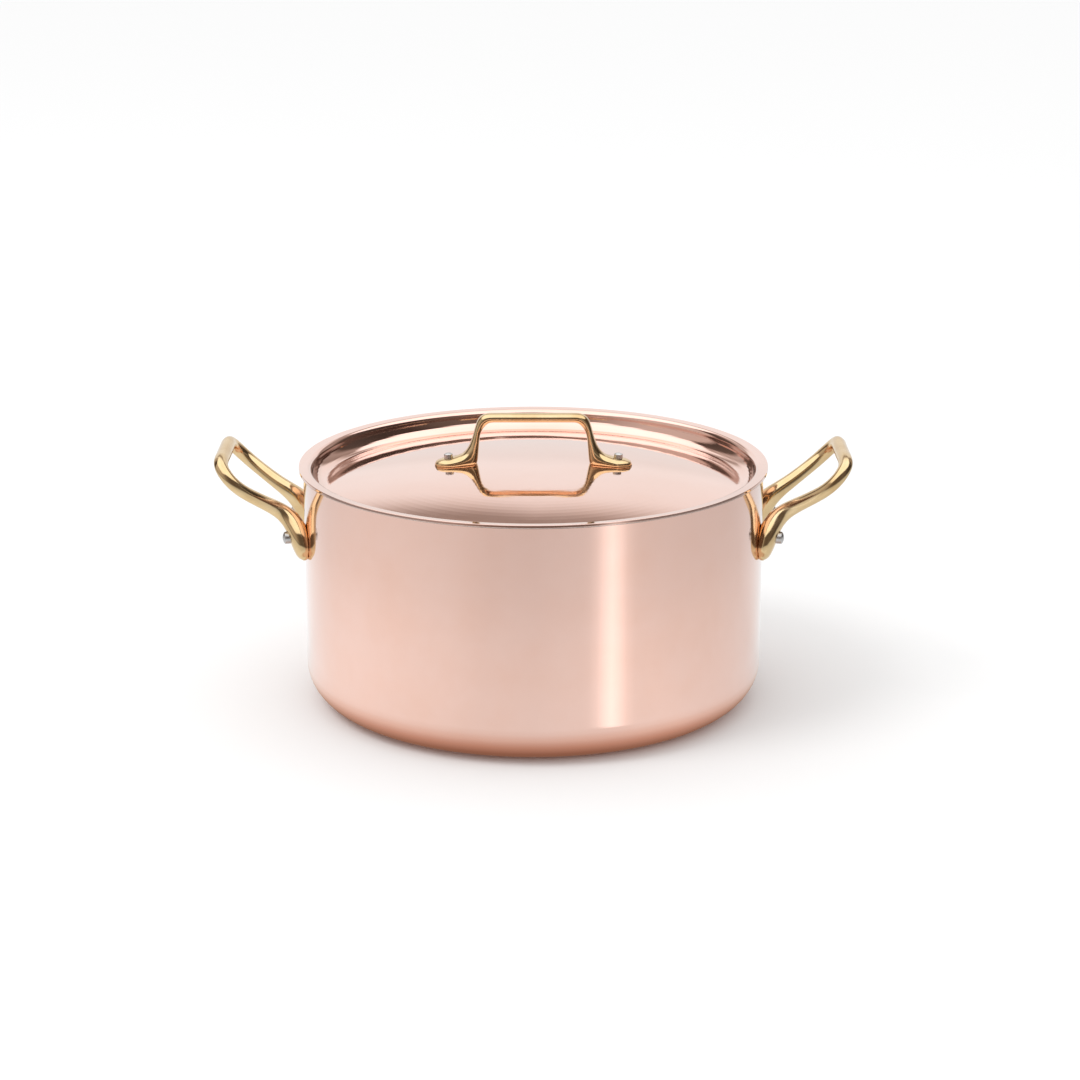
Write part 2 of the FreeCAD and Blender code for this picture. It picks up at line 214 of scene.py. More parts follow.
def round_the_axis(add, fine, coarse):
    """Coordinates in which a noise draws lines round the Z axis: fine across, coarse along."""
    place = add("ShaderNodeTexCoord").outputs["Object"]
    split = add("ShaderNodeSeparateXYZ", [(0, place)])
    flat = add("ShaderNodeCombineXYZ", [(0, split.outputs[0]), (1, split.outputs[1])])
    out = add("ShaderNodeVectorMath", [(0, flat.outputs[0])], operation="LENGTH").outputs["Value"]
    lines = reckon(add, "MULTIPLY", reckon(add, "ADD", out, split.outputs[2]), fine)
    around = add("ShaderNodeVectorMath", [(0, flat.outputs[0])], operation="NORMALIZE").outputs[0]
    spread = add("ShaderNodeVectorMath", [(0, around), (1, (coarse, coarse, coarse))], operation="MULTIPLY")
    parts = add("ShaderNodeSeparateXYZ", [(0, spread.outputs[0])])
    joined = add("ShaderNodeCombineXYZ", [(0, parts.outputs[0]), (1, parts.outputs[1]), (2, lines)])
    return place, joined.outputs[0]


def ranged(add, value, low, high, new_low, new_high):
    return add("ShaderNodeMapRange", [("Value", value), ("From Min", low), ("From Max", high),
                                      ("To Min", new_low), ("To Max", new_high)]).outputs[0]


def tints(add, value, stops):
    ramp = add("ShaderNodeValToRGB", [(0, value)])
    band = ramp.color_ramp
    while len(band.elements) < len(stops):
        band.elements.new(0.5)
    for element, (spot, colour) in zip(band.elements, stops):
        element.position = spot
        element.color = (*colour, 1)
    return ramp.outputs[0]


def polished_copper(name, tone, rough_low, rough_high, brush_depth):
    """Copper off the polishing mop under clear lacquer: lathe lines, soft clouds, a few hairs."""
    material, add, join = finish_nodes(name)
    lacquer = material.node_tree.nodes["Principled BSDF"].inputs
    lacquer["Coat Weight"].default_value, lacquer["Coat Roughness"].default_value = 1.0, 0.03
    place, round_lines = round_the_axis(add, 5200.0, 3.0)
    brushing = add("ShaderNodeTexNoise", [("Vector", round_lines), ("Scale", 1.0), ("Detail", 3.0)])
    clouds = add("ShaderNodeTexNoise", [
        ("Vector", place), ("Scale", 26.0), ("Detail", 4.0), ("Roughness", 0.55)])
    smears = add("ShaderNodeTexNoise", [
        ("Vector", place), ("Scale", 75.0), ("Detail", 6.0), ("Roughness", 0.6), ("Distortion", 1.2)])
    _, sparse_lines = round_the_axis(add, 900.0, 9.0)
    hairs = add("ShaderNodeTexNoise", [("Vector", sparse_lines), ("Scale", 1.0), ("Detail", 1.0)])
    mixed = reckon(add, "MULTIPLY", clouds.outputs[0], smears.outputs[0])
    warm = tuple(c * k for c, k in zip(tone, (0.985, 0.955, 0.93)))
    pale = tuple(min(1.0, c * k) for c, k in zip(tone, (1.01, 1.03, 1.045)))
    join(tints(add, clouds.outputs[0], [(0.30, warm), (0.52, tone), (0.72, pale)]), "Base Color")
    gloss = ranged(add, mixed, 0.15, 0.38, rough_low, rough_high)
    lift = ranged(add, brushing.outputs[0], 0.3, 0.7, -0.012, 0.012)
    join(reckon(add, "ADD", gloss, lift), "Roughness")
    lines = add("ShaderNodeBump", [
        ("Height", brushing.outputs[0]), ("Strength", 1.0), ("Distance", brush_depth)])
    scratch = tints(add, hairs.outputs[0], [(0.0, (0, 0, 0)), (0.70, (0, 0, 0)), (0.73, (1, 1, 1))])
    worn = add("ShaderNodeBump", [("Height", scratch), ("Strength", 0.6), ("Distance", brush_depth * 3),
                                  ("Normal", lines.outputs[0])], invert=True)
    join(worn.outputs[0], "Normal")
    return material


lathe = turning_tree()
copper_tone = (0.955, 0.638, 0.538)
flat = pan_radius - pan_corner
inside = pan_radius - copper_wall
pan_profile = outline(
    [(0, 0), (flat, 0)] + arc((flat, pan_corner), pan_corner, 180, 90, 3)
    + arc((pan_radius - rim_round, pan_height - rim_round), rim_round, 90, 0, 15)
    + [(inside, pan_height)] + arc((flat, pan_corner), pan_corner - copper_wall, 90, 180, 3)
    + [(0, copper_wall)])
pan_shell = turned("pan_wall_and_base", pan_profile,
                   polished_copper("copper_lathe_polished", copper_tone, 0.085, 0.16, 1.2e-6))
place_in(pan_shell, "pan", "copper", "pan_shell")


# ---- Pan lining --------------------------------------------------------------------------
# A skin of stainless steel 0.2 mm thick is rolled onto the copper before it is spun.
# It shows inside the pan and as a thin pale line along the rim.
def turned_steel(name):
    material, add, join = finish_nodes(name)
    place, round_lines = round_the_axis(add, 3000.0, 1.6)
    brushing = add("ShaderNodeTexNoise", [("Vector", round_lines), ("Scale", 1.0), ("Detail", 4.0)])
    clouds = add("ShaderNodeTexNoise", [("Vector", place), ("Scale", 30.0), ("Detail", 4.0)])
    join(tints(add, clouds.outputs[0], [(0.3, (0.60, 0.585, 0.56)), (0.7, (0.68, 0.67, 0.65))]), "Base Color")
    join(ranged(add, brushing.outputs[0], 0.3, 0.7, 0.22, 0.34), "Roughness")
    lines = add("ShaderNodeBump", [("Height", brushing.outputs[0]), ("Strength", 1.0), ("Distance", 6e-6)])
    join(lines.outputs[0], "Normal")
    return material


steel = turned_steel("stainless_turned")
cooking_side = inside - lining_wall
bottom = copper_wall + lining_wall
lining_profile = outline(
    [(0, copper_wall)] + arc((flat, pan_corner), pan_corner - copper_wall, 180, 90, 3)
    + [(inside, pan_height), (cooking_side, pan_height)]
    + arc((flat, pan_corner), pan_corner - bottom, 90, 180, 3) + [(0, bottom)])
pan_lining = turned("pan_lining_skin", lining_profile, steel)
place_in(pan_lining, "pan", "stainless", "pan_lining")


# ---- Side handles ------------------------------------------------------------------------
# Each handle is one sand casting in yellow brass: two wide lugs that lie on the wall, legs
# that pinch in, and a flared hoop for the fingers. It is filed, polished and riveted on.
side_stations = [
    (119.6, 29.8, 83.0, 1.7, 2.6, 90),
    (120.4, 29.1, 84.6, 3.3, 4.8, 90),
    (121.2, 28.2, 87.6, 4.5, 6.6, 88),
    (122.3, 26.7, 91.3, 5.1, 7.5, 84),
    (124.1, 24.5, 96.2, 5.4, 7.3, 76),
    (127.3, 22.5, 101.4, 5.1, 6.2, 60),
    (132.0, 21.9, 105.9, 4.4, 4.9, 43),
    (138.4, 23.6, 110.3, 3.8, 4.2, 33),
    (146.0, 27.0, 115.3, 3.5, 3.9, 34),
    (153.2, 29.6, 120.6, 3.4, 3.9, 38),
    (159.0, 29.3, 126.2, 3.4, 3.9, 46),
    (162.6, 25.6, 130.8, 3.4, 3.9, 52),
    (163.6, 19.0, 132.8, 3.4, 3.8, 55),
    (163.6, 9.0, 133.1, 3.4, 3.8, 55),
    (163.6, 0.0, 133.1, 3.4, 3.8, 55),
]
casting_round, casting_squareness = 40, 0.86


def eased(table, step):
    """A natural cubic through the rows of a table, read every step of its first three columns."""
    rows = np.array(table, float)
    gaps = np.linalg.norm(np.diff(rows[:, :3], axis=0), axis=1)
    spot = np.concatenate([[0], np.cumsum(gaps)])
    n = len(rows)
    system, right = np.eye(n), np.zeros_like(rows)
    for i in range(1, n - 1):
        before, after = gaps[i - 1], gaps[i]
        system[i, i - 1:i + 2] = before, 2 * (before + after), after
        right[i] = 6 * ((rows[i + 1] - rows[i]) / after - (rows[i] - rows[i - 1]) / before)
    bend = np.linalg.solve(system, right)
    reads = np.linspace(0, spot[-1], int(spot[-1] / step) + 1)
    made = []
    for t in reads:
        i = min(int(np.searchsorted(spot, t, side="right")) - 1, n - 2)
        h, a, b = gaps[i], spot[i + 1] - t, t - spot[i]
        made.append((bend[i] * a ** 3 + bend[i + 1] * b ** 3) / (6 * h)
                    + (rows[i] / h - bend[i] * h / 6) * a + (rows[i + 1] / h - bend[i + 1] * h / 6) * b)
    return np.array(made)


def casting_tree():
    """Rings of a rounded section strung along a path; each ring's half axes are on its point."""
    tree, ends, node = tree_with("cast_bar", [("Round", "NodeSocketInt"), ("Squareness", "NodeSocketFloat"),
                                              ("Material", "NodeSocketMaterial")])
    path, steps = ends[0].outputs["Geometry"], ends[0].outputs["Round"]
    grid, row, column = grid_on(node, path, steps)

    def on_path(value):
        read = node("GeometryNodeSampleIndex", data_type="FLOAT_VECTOR", domain="POINT")
        tree.links.new(path, read.inputs["Geometry"])
        tree.links.new(value, read.inputs["Value"])
        tree.links.new(row.outputs[0], read.inputs["Index"])
        return read.outputs[0]

    def named(label):
        read = node("GeometryNodeInputNamedAttribute", [("Name", label)], data_type="FLOAT_VECTOR")
        return on_path(read.outputs[0])

    share = reckon(node, "DIVIDE", column.outputs[0], steps)
    angle = reckon(node, "MULTIPLY", share, 2 * math.pi)
    reach = []
    for turn in ("COSINE", "SINE"):
        wave = reckon(node, turn, angle)
        full = reckon(node, "POWER", reckon(node, "ABSOLUTE", wave), ends[0].outputs["Squareness"])
        reach.append(reckon(node, "MULTIPLY", full, reckon(node, "SIGN", wave)))
    spot = on_path(node("GeometryNodeInputPosition").outputs[0])
    for amount, label in zip(reach, ("across", "through")):
        part = node("ShaderNodeVectorMath", [(0, named(label))], operation="SCALE")
        tree.links.new(amount, part.inputs["Scale"])
        spot = node("ShaderNodeVectorMath", [(0, spot), (1, part.outputs[0])], operation="ADD").outputs[0]
    moved = node("GeometryNodeSetPosition", [(0, grid.outputs[0]), ("Position", spot)])
    closed = node("GeometryNodeMergeByDistance", [(0, moved.outputs[0]), ("Distance", 1e-6)])
    return finished(tree, node, ends, closed.outputs[0])


def rounded_ends(points, across, through, reach):
    """Closes both ends of a bar with rings that shrink to a point over the given reach."""
    shares = np.array((0.25, 0.5, 0.72, 0.88, 0.97, 1.0))
    sizes = np.sqrt(1 - shares ** 2)[:, None]

    def tip(end, inner):
        way = points[end] - points[inner]
        way = way / np.linalg.norm(way) * reach
        return points[end] + shares[:, None] * way, across[end] * sizes, through[end] * sizes

    first, last = tip(0, 1), tip(-1, -2)
    return [np.vstack([a[::-1], b, c]) for a, b, c in zip(first, (points, across, through), last)]


def cast_bar(name, points, across, through, material):
    source = plain_mesh(name + "_path", points, edges=[(i, i + 1) for i in range(len(points) - 1)])
    for label, values in (("across", across), ("through", through)):
        kept = source.attributes.new(label, "FLOAT_VECTOR", "POINT")
        kept.data.foreach_set("vector", np.asarray(values, np.float32).ravel())
    return through_tree(name, source, foundry, {
        "Round": casting_round, "Squareness": casting_squareness, "Material": material})


def cast_brass(name):
    """Yellow brass, filed and mopped by hand: soft ripples, darker and lighter in soft clouds, tiny pits."""
    material, add, join = finish_nodes(name)
    place = add("ShaderNodeTexCoord").outputs["Object"]
    ripples = add("ShaderNodeTexNoise", [("Vector", place), ("Scale", 130.0), ("Detail", 2.0)])
    clouds = add("ShaderNodeTexNoise", [
        ("Vector", place), ("Scale", 60.0), ("Detail", 5.0), ("Roughness", 0.6)])
    filing = add("ShaderNodeTexNoise", [
        ("Vector", place), ("Scale", 900.0), ("Detail", 3.0), ("Roughness", 0.65)])
    pits = add("ShaderNodeTexVoronoi", [("Vector", place), ("Scale", 420.0), ("Randomness", 1.0)])
    join(tints(add, clouds.outputs[0], [(0.28, (0.68, 0.47, 0.235)), (0.5, (0.77, 0.57, 0.315)),
                                        (0.72, (0.85, 0.665, 0.41))]), "Base Color")
    join(ranged(add, clouds.outputs[0], 0.3, 0.7, 0.075, 0.16), "Roughness")
    wavy = add("ShaderNodeBump", [("Height", ripples.outputs[0]), ("Strength", 1.0), ("Distance", 6.0e-5)])
    grain = add("ShaderNodeBump", [("Height", filing.outputs[0]), ("Strength", 1.0), ("Distance", 2.5e-6),
                                   ("Normal", wavy.outputs[0])])
    hole = tints(add, pits.outputs["Distance"], [(0.0, (0, 0, 0)), (0.05, (1, 1, 1)), (1.0, (1, 1, 1))])
    pitted = add("ShaderNodeBump", [("Height", hole), ("Strength", 0.35), ("Distance", 1.5e-5),
                                    ("Normal", grain.outputs[0])])
    join(pitted.outputs[0], "Normal")
    return material


def unit(rows):
    return rows / np.linalg.norm(rows, axis=1, keepdims=True)


foundry = casting_tree()
brass = cast_brass("brass_cast_and_mopped")
half = eased(side_stations, 0.7)
for side, name, node in ((1, "right_side_handle", "right_handle"), (-1, "left_side_handle", "left_handle")):
    front, back = half * (1, -1, 1, 1, 1, 1), half[-2::-1]
    rows = np.vstack([front, back]) * (side, 1, 1, 1, 1, 1)
    points = rows[:, :3]
    along = unit(np.gradient(points, axis=0))
    lean = np.radians(rows[:, 5])[:, None]
    inward = unit(-points * (1, 1, 0))
    normal = inward * np.sin(lean) + np.array([[0, 0, 1.0]]) * np.cos(lean)
    normal = unit(normal - along * np.sum(normal * along, axis=1, keepdims=True))
    points, across, through = rounded_ends(points * MM, np.cross(along, normal) * rows[:, 4:5] * MM,
                                           normal * rows[:, 3:4] * MM, 0.9 * MM)
    handle = cast_bar(name, points, across, through, brass)
    low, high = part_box(node)
    for v in handle.data.vertices:
        out = math.hypot(v.co.x, v.co.y)
        if out < pan_radius * MM:
            v.co.x *= pan_radius * MM / out
            v.co.y *= pan_radius * MM / out
        v.co = Vector(min(max(c, a), b) for c, a, b in zip(v.co, low, high))
    place_in(handle, "pan", "brass_casting", node)


# ---- Pan rivets --------------------------------------------------------------------------
# Two solid steel rivets hold each lug: a low domed head inside on the lining, a shank
# through wall and lug, and an end hammered to a shallow dome in the brass.
rivet_shank, rivet_head, head_rise, end_rise = 3.2, 6.0, 2.2, 1.1
rivet_angle, rivet_up, rivet_reach = 11.6, 93.4, 14.6


def rivet_tree():
    """One turned rivet set on each point of a mesh, along the way held by the point."""
    tree, ends, node = tree_with("rivets_on_points", [
        ("Rivet", "NodeSocketObject"), ("Material", "NodeSocketMaterial")])
    pattern = node("GeometryNodeObjectInfo", [("Object", ends[0].outputs["Rivet"])])
    way = node("GeometryNodeInputNamedAttribute", [("Name", "way")], data_type="FLOAT_VECTOR")
    turn = node("FunctionNodeAlignRotationToVector", [("Vector", way.outputs[0])], axis="Z")
    placed = node("GeometryNodeInstanceOnPoints", [("Points", ends[0].outputs["Geometry"]),
                                                   ("Instance", pattern.outputs["Geometry"]),
                                                   ("Rotation", turn.outputs[0])])
    return finished(tree, node, ends, placed.outputs[0])


def cap(radius, rise, top):
    """A shallow dome from the middle of its crown to its edge."""
    ball = (radius ** 2 + rise ** 2) / (2 * rise)
    return arc((0, top - ball), ball, 0, math.degrees(math.asin(radius / ball)), 2)


def rivet_outline(shank, head, rise, end, reach):
    edge = 0.4
    crown = [(r, -z) for r, z in cap(head - 0.2, rise - edge, rise)]
    tip = cap(shank, end, reach)[::-1]
    return outline(crown + [(head, -0.3), (head, 0), (shank, 0)] + tip)


def rivet_steel(name):
    """Tumbled stainless steel: grey in soft clouds, softly dimpled."""
    material, add, join = finish_nodes(name)
    place = add("ShaderNodeTexCoord").outputs["Object"]
    clouds = add("ShaderNodeTexNoise", [("Vector", place), ("Scale", 420.0), ("Detail", 4.0)])
    dimples = add("ShaderNodeTexNoise", [("Vector", place), ("Scale", 1100.0), ("Detail", 2.0)])
    join(tints(add, clouds.outputs[0], [(0.3, (0.50, 0.49, 0.48)), (0.7, (0.70, 0.69, 0.68))]), "Base Color")
    join(ranged(add, clouds.outputs[0], 0.3, 0.7, 0.26, 0.42), "Roughness")
    hammered = add("ShaderNodeBump", [
        ("Height", dimples.outputs[0]), ("Strength", 1.0), ("Distance", 2.5e-5)])
    join(hammered.outputs[0], "Normal")
    return material


def rivets(name, pattern, spots, ways, material):
    source = plain_mesh(name + "_points", spots)
    kept = source.attributes.new("way", "FLOAT_VECTOR", "POINT")
    kept.data.foreach_set("vector", np.asarray(ways, np.float32).ravel())
    made = through_tree(name, source, rivet_setting, {"Rivet": pattern, "Material": material})
    bpy.data.objects.remove(pattern)
    return made


rivet_setting = rivet_tree()
rivet_finish = rivet_steel("rivet_tumbled_steel")
rivet_steps = 48
rivet_profile = rivet_outline(rivet_shank, rivet_head, head_rise, end_rise, rivet_reach)
pattern = turned("pan_rivet_pattern", rivet_profile, rivet_finish, rivet_steps)
seat = math.sqrt(cooking_side ** 2 - rivet_head ** 2)
spots, ways = [], []
for side in (1, -1):
    for end in (1, -1):
        a = math.radians(rivet_angle)
        ways.append((side * math.cos(a), end * math.sin(a), 0))
        spots.append((ways[-1][0] * seat * MM, ways[-1][1] * seat * MM, rivet_up * MM))
pan_rivets = rivets("pan_rivets", pattern, spots, ways, rivet_finish)
place_in(pan_rivets, "pan", "rivet_steel", "left_handle_front_rivet", "left_handle_back_rivet",
         "right_handle_front_rivet", "right_handle_back_rivet")


# ---- Lid ---------------------------------------------------------------------------------
# The lid is spun from thinner copper: a flange that rests on the rim and climbs slightly to
# its edge, a short sunk wall, a wide cove at the wall's foot, and a shallow dome.
lid_radius, lid_copper, lid_well = 124.4, 1.4, 117.2
lid_bend, lid_fillet, flange_rise = 2.8, 7.5, 0.3
dome_top, dome_middle, dome_reach, dome_shoulder = 127.6, 700.0, 40.0, 450.0
lid_top = pan_height + lid_copper + lining_wall
lean = math.asin(dome_reach / dome_middle)
middle_centre = (0, dome_top - dome_middle)
shoulder_centre = (dome_reach - dome_shoulder * math.sin(lean),
                   middle_centre[1] + (dome_middle - dome_shoulder) * math.cos(lean))
fillet_out = lid_well - lid_fillet
fillet_rise = math.sqrt((dome_shoulder + lid_fillet) ** 2 - (fillet_out - shoulder_centre[0]) ** 2)
fillet_centre = (fillet_out, shoulder_centre[1] + fillet_rise)
tilt = math.degrees(math.atan2(fillet_out - shoulder_centre[0], fillet_rise))
bend_centre = (lid_well + lid_bend, lid_top - lid_bend)


def lid_face(depth):
    """One face of the lid, that far under its top surface, from the middle to the flange."""
    slope = math.degrees(lean)
    return (arc(middle_centre, dome_middle - depth, 0, slope, 0.35)
            + arc(shoulder_centre, dome_shoulder - depth, slope, tilt, 0.5)[1:]
            + arc(fillet_centre, lid_fillet + depth, 180 + tilt, 90, 6)[1:]
            + arc(bend_centre, lid_bend - depth, 270, 360, 7))


# The cut edge of the flange leans in a little towards its top, with both corners rounded.
upper_round, upper_inset, lower_round, lower_inset = 0.3, 0.45, 0.2, 0.22
rim_top = lid_top + flange_rise
lid_profile = outline(
    lid_face(0) + arc((lid_radius - upper_inset, rim_top - upper_round), upper_round, -6, 80, 15)
    + arc((lid_radius - lower_inset, rim_top - lid_copper + lower_round), lower_round, 80, 170, 20)
    + lid_face(lid_copper)[::-1])
lid_shell = turned("lid_dome_and_flange", lid_profile,
                   polished_copper("copper_lid_polished", copper_tone, 0.05, 0.10, 0.5e-6))
place_in(lid_shell, "lid", "copper", "lid_shell")


# ---- Lid lining --------------------------------------------------------------------------
# The same stainless skin covers the whole underside of the lid, out to the flange's edge.
lid_back = lid_copper + lining_wall
skin_profile = outline(
    lid_face(lid_copper) + [(lid_radius - 0.1, rim_top - lid_copper), (lid_radius - 0.15, rim_top - lid_back)]
    + lid_face(lid_back)[::-1])
lid_lining = turned("lid_lining_skin", skin_profile, steel)
place_in(lid_lining, "lid", "stainless", "lid_lining")


# ---- Lid handle --------------------------------------------------------------------------
# A smaller casting in the same brass: two spoon-shaped feet on the dome, legs that lean in
# as they rise, and a straight bar for the hand.
lid_stations = [
    (52.3, 126.6, 52.1, 125.0, 1.0),
    (51.9, 127.5, 51.6, 124.6, 2.7),
    (50.6, 128.6, 50.3, 124.6, 4.6),
    (48.0, 129.5, 47.6, 124.6, 6.1),
    (44.4, 130.0, 44.0, 124.8, 6.8),
    (40.6, 130.9, 39.6, 125.0, 6.5),
    (37.2, 132.6, 34.6, 125.3, 5.9),
    (34.9, 135.3, 30.8, 125.8, 5.3),
    (33.3, 138.5, 29.2, 131.2, 4.8),
    (32.2, 141.8, 28.8, 136.0, 4.5),
    (31.3, 145.0, 28.4, 140.4, 4.2),
    (30.3, 148.4, 27.5, 144.2, 4.1),
    (28.7, 151.6, 25.9, 146.9, 4.0),
    (25.6, 153.7, 23.6, 148.9, 4.0),
    (21.0, 154.2, 20.4, 149.4, 4.0),
    (10.0, 154.2, 10.0, 149.4, 4.0),
    (0.0, 154.2, 0.0, 149.4, 4.0),
]


def dome_up(out):
    """Height of the lid's top surface at that distance from the axis, in millimetres."""
    centre, radius = (middle_centre, dome_middle) if out < dome_reach else (shoulder_centre, dome_shoulder)
    return centre[1] + math.sqrt(radius ** 2 - (out - centre[0]) ** 2)


table = [((a + c) / 2, 0.0, (b + d) / 2, a - c, b - d, w) for a, b, c, d, w in lid_stations]
half = eased(table, 0.5)
rows = np.vstack([half * (-1, 1, 1, -1, 1, 1), half[-2::-1]])
through = np.column_stack([rows[:, 3] / 2, np.zeros(len(rows)), rows[:, 4] / 2]) * MM
across = np.column_stack([np.zeros(len(rows)), rows[:, 5], np.zeros(len(rows))]) * MM
points, across, through = rounded_ends(rows[:, :3] * MM, across, through, 0.5 * MM)
lid_handle = cast_bar("lid_grip", points, across, through, brass)
low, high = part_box("lid_handle")
for v in lid_handle.data.vertices:
    out = math.hypot(v.co.x, v.co.y) / MM
    v.co.z = max(v.co.z, dome_up(out) * MM) if out < 60 else v.co.z
    v.co = Vector(min(max(c, a), b) for c, a, b in zip(v.co, low, high))
place_in(lid_handle, "lid", "brass_casting", "lid_handle")


# ---- Lid rivets --------------------------------------------------------------------------
# One smaller steel rivet goes through each foot of the handle and the dome under it.
lid_rivet_out, head_gap = 44.8, 0.02
under = lid_back + head_gap
lid_rivet_shank, lid_rivet_head, lid_head_rise, lid_end_rise, lid_rivet_reach = 2.3, 4.4, 1.5, 0.7, 8.1
rivet_profile = rivet_outline(lid_rivet_shank, lid_rivet_head, lid_head_rise, lid_end_rise, lid_rivet_reach)
pattern = turned("lid_rivet_pattern", rivet_profile, rivet_finish, rivet_steps)
slope = math.asin((lid_rivet_out - shoulder_centre[0]) / dome_shoulder)
spots, ways = [], []
for side in (1, -1):
    ways.append((side * math.sin(slope), 0, math.cos(slope)))
    spots.append(((side * lid_rivet_out - ways[-1][0] * under) * MM, 0,
                  (dome_up(lid_rivet_out) - ways[-1][2] * under) * MM))
lid_rivets = rivets("lid_rivets", pattern, spots, ways, rivet_finish)
place_in(lid_rivets, "lid", "rivet_steel", "lid_handle_left_rivet", "lid_handle_right_rivet")


# ---- Floor, light and camera -------------------------------------------------------------
# Not part of the object: a white sweep, a soft round light from the upper left, a narrow
# panel and a shaded room that show only in the polish, and a raised view from the front.
scene = bpy.context.scene
scene.view_settings.view_transform = "Standard"


def curve_of(add, value, low, high, stops):
    """Brightness over value, straight between the given (value, brightness) stops."""
    share = ranged(add, value, low, high, 0.0, 1.0)
    top = max(b for _, b in stops)
    ramp = add("ShaderNodeValToRGB", [(0, share)])
    band = ramp.color_ramp
    while len(band.elements) < len(stops):
        band.elements.new(0.5)
    for element, (spot, bright) in zip(band.elements, stops):
        element.position = (spot - low) / (high - low)
        element.color = (bright / top, bright / top, bright / top, 1)
    return reckon(add, "MULTIPLY", ramp.outputs[0], top)


def bearing_of(add, parts):
    """Degrees round from the front, positive to the right."""
    turn = reckon(add, "ARCTAN2", parts.outputs[0], reckon(add, "MULTIPLY", parts.outputs[1], -1.0))
    return reckon(add, "MULTIPLY", turn, 180 / math.pi)


world = bpy.data.worlds.new("white_room")
scene.world = world
world.use_nodes = True
world.node_tree.nodes.clear()
add = node_adder(world.node_tree)
way = add("ShaderNodeTexCoord").outputs["Generated"]
parts = add("ShaderNodeSeparateXYZ", [(0, way)])
height = reckon(add, "MULTIPLY", reckon(add, "ARCSINE", parts.outputs[2]), 180 / math.pi)
bearing = bearing_of(add, parts)
aside = reckon(add, "ABSOLUTE", bearing)
# All round, the room is dim and pink low down and bright above an edge whose height varies.
low = curve_of(add, bearing, -180, 180, [
    (-180, 1.0), (-154, 1.0), (-146, 0.45), (-139, 0.55), (-132, 0.12), (-114, 0.08), (-107, 0.60),
    (-66, 0.60), (-50, 0.50), (-36, 0.38), (-20, 0.20), (0, 0.13), (40, 0.15), (55, 0.12),
    (72, 0.055), (95, 0.055), (124, 0.09), (134, 0.40), (148, 0.30), (155, 1.0), (180, 1.0)])
overhead = curve_of(add, height, 40, 90, [(40, 1.35), (50, 1.5), (62, 1.5), (90, 1.35)])
threshold = curve_of(add, bearing, -180, 180, [
    (-180, 37.0), (-112, 37.5), (-78, 40.5), (-55, 35.0), (-38, 28.0), (-22, 33.0), (0, 40.0),
    (62, 42.0), (92, 39.0), (140, 36.0), (180, 36.0)])
how_high = ranged(add, reckon(add, "SUBTRACT", height, threshold), 0.0, 3.0, 0.0, 1.0)
round_about = add("ShaderNodeMix", [("Factor", how_high), ("A", low), ("B", overhead)], data_type="FLOAT")
# At the back it is one bright sheet with a darker band across it, which drops to each side.
steepness = ranged(add, reckon(add, "LESS_THAN", bearing, 0.0), 0.0, 1.0, 0.1, 0.5)
slant = reckon(add, "MULTIPLY", reckon(add, "SUBTRACT", 180.0, aside), steepness)
behind = curve_of(add, reckon(add, "ADD", height, slant), 0, 90, [
    (0, 0.85), (13, 0.88), (16, 0.95), (22, 0.95), (27.7, 0.93), (29.2, 0.88), (31, 0.77), (32, 0.68),
    (33, 0.58), (34.4, 0.42), (36, 0.32), (39, 0.45), (43, 0.80), (47, 1.1), (52, 1.35), (90, 1.35)])
how_far_back = ranged(add, aside, 150, 156, 0.0, 1.0)
all_round = add("ShaderNodeMix", [("Factor", how_far_back), ("A", round_about.outputs[0]), ("B", behind)],
                data_type="FLOAT")
cast = tints(add, ranged(add, all_round.outputs[0], 0.05, 1.0, 0.0, 1.0), [
    (0.0, (1.0, 0.78, 0.66)), (1.0, (1, 1, 1))])
room = add("ShaderNodeBackground", [("Color", cast), ("Strength", all_round.outputs[0])])
white = add("ShaderNodeBackground", [("Color", (1, 1, 1, 1)), ("Strength", 1.0)])
fill = add("ShaderNodeBackground", [("Color", (1, 1, 1, 1)), ("Strength", 1.2)])
path = add("ShaderNodeLightPath")
glossy = add("ShaderNodeMixShader", [
    (0, path.outputs["Is Glossy Ray"]), (1, fill.outputs[0]), (2, room.outputs[0])])
seen = add("ShaderNodeMixShader", [
    (0, path.outputs["Is Camera Ray"]), (1, glossy.outputs[0]), (2, white.outputs[0])])
add("ShaderNodeOutputWorld", [(0, seen.outputs[0])])

# A white floor, matt to the eye; in the polish it shows a painted glow instead, darkened under the pan by a
# painted shadow and reddened there by a painted reflection of the copper.
floor_size = 6.0
floor = bpy.data.objects.new("floor_sweep", plain_mesh("floor_sweep", [
    (-floor_size, -floor_size, 0), (floor_size, -floor_size, 0), (floor_size, floor_size, 0),
    (-floor_size, floor_size, 0)], [(0, 1, 2, 3)]))
scene.collection.objects.link(floor)
paper = bpy.data.materials.new("white_paper_and_painted_glow")
paper.use_nodes = True
paper.node_tree.nodes.clear()
add = node_adder(paper.node_tree)
place = add("ShaderNodeTexCoord").outputs["Object"]
parts = add("ShaderNodeSeparateXYZ", [(0, place)])
out = add("ShaderNodeVectorMath", [(0, place)], operation="LENGTH").outputs["Value"]
bearing = bearing_of(add, parts)
# Painted room light in the polish: the glow's brightness changes with bearing round the pan.
by_bearing = curve_of(add, bearing, -180, 180, [
    (-180, 0.95), (-110, 0.78), (-92, 0.80), (-78, 0.81), (-60, 0.80), (-45, 0.77), (-32, 0.74),
    (-18, 0.69), (0, 0.67), (18, 0.70), (32, 0.74), (45, 0.75), (58, 0.71), (75, 0.68), (95, 0.66),
    (107, 0.66), (180, 0.95)])
